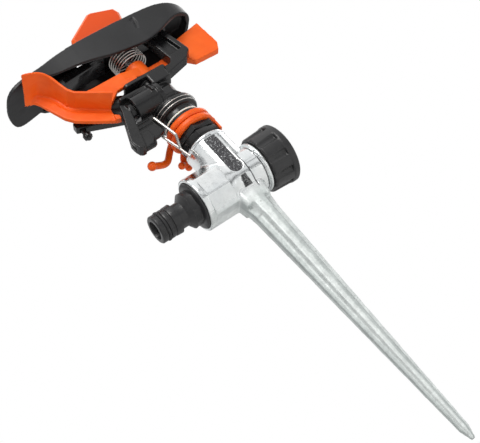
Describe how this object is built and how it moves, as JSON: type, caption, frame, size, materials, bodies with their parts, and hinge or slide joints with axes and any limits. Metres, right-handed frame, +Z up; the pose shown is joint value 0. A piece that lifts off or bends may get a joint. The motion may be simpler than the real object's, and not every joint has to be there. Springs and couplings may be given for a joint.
{
  "type": "impact sprinkler",
  "caption": "Impact lawn sprinkler on a cast ground spike: swivelling nozzle head with a sprung drive arm, stop collars, trip lever, hood and range lever.",
  "frame": {"origin": "where the swivel axis crosses the hose line, inside the cross tube", "axes": "+Z up along the swivel axis, +X along the hose line towards the hose connector, +Y to the side with the recessed panel"},
  "size_m": [0.1225, 0.0457, 0.3163],
  "materials": {
    "zinc_cast": "as-cast and tumbled zinc alloy, bright with grey in the recesses",
    "black_plastic": "satin moulded black plastic",
    "connector_plastic": "fine-grained black plastic",
    "hood_plastic": "satin dark grey plastic",
    "orange_plastic": "semi-gloss orange plastic",
    "spring_steel": "bright drawn spring wire",
    "pin_steel": "ground stainless pin",
    "seal_rubber": "black sealing rubber",
    "washer_nylon": "natural nylon",
    "brass": "turned brass"
  },
  "bodies": {
    "base": {"spike_body": "zinc_cast", "hose_connector": "connector_plastic", "connector_o_ring": "seal_rubber", "connector_washer": "seal_rubber", "bearing_nipple": "black_plastic", "nipple_seal": "seal_rubber"},
    "cap": {"end_cap": "connector_plastic", "end_cap_seal": "seal_rubber"},
    "collar_upper": {"upper_collar": "orange_plastic"},
    "collar_lower": {"lower_collar": "orange_plastic"},
    "head": {"sprinkler_body": "black_plastic", "nozzle_insert": "brass", "swivel_tube": "brass", "lower_thrust_washer": "washer_nylon", "swivel_seal": "seal_rubber", "upper_thrust_washer": "washer_nylon", "bearing_spring": "spring_steel", "arm_pin": "pin_steel", "arm_washer": "washer_nylon", "arm_spring": "spring_steel", "hood": "hood_plastic", "hood_screws": "pin_steel", "trip_spring": "spring_steel"},
    "arm": {"drive_arm": "orange_plastic", "arm_bushing": "washer_nylon"},
    "trip": {"trip_lever": "black_plastic", "trip_pin": "pin_steel", "trip_wire": "spring_steel"},
    "range_control": {"range_lever": "orange_plastic", "deflector_flap": "black_plastic"},
    "screw": {"jet_screw": "black_plastic"}
  },
  "joints": [
    {"name": "head_swivel", "type": "hinge", "parent": "base", "child": "head", "pos_m": [0, 0, 0.05], "axis": [0, 0, 1], "range_deg": [-40, 235]},
    {"name": "upper_collar_turn", "type": "hinge", "parent": "base", "child": "collar_upper", "pos_m": [0, 0, 0.042], "axis": [0, 0, 1], "range_deg": [-8, 25]},
    {"name": "lower_collar_turn", "type": "hinge", "parent": "base", "child": "collar_lower", "pos_m": [0, 0, 0.038], "axis": [0, 0, 1], "range_deg": [-194, 8]},
    {"name": "end_cap_turn", "type": "hinge", "parent": "base", "child": "cap", "pos_m": [-0.02, 0, 0], "axis": [1, 0, 0], "continuous": true},
    {"name": "arm_swing", "type": "hinge", "parent": "head", "child": "arm", "pos_m": [0, 0, 0.088], "axis": [0, 0, 1], "range_deg": [0, 95], "stiffness_Nm_per_rad": 0.01},
    {"name": "trip_flip", "type": "hinge", "parent": "head", "child": "trip", "pos_m": [0.0215, 0.0082, 0.0636], "axis": [1, 0, 0], "range_deg": [0, 14]},
    {"name": "range_lever_tilt", "type": "hinge", "parent": "head", "child": "range_control", "pos_m": [-0.013, 0, 0.1096], "axis": [0, 1, 0], "range_deg": [0, 10]},
    {"name": "jet_screw_travel", "type": "slide", "parent": "head", "child": "screw", "axis": [0, 0, 1], "range_m": [0, 0.0022]}
  ]
}
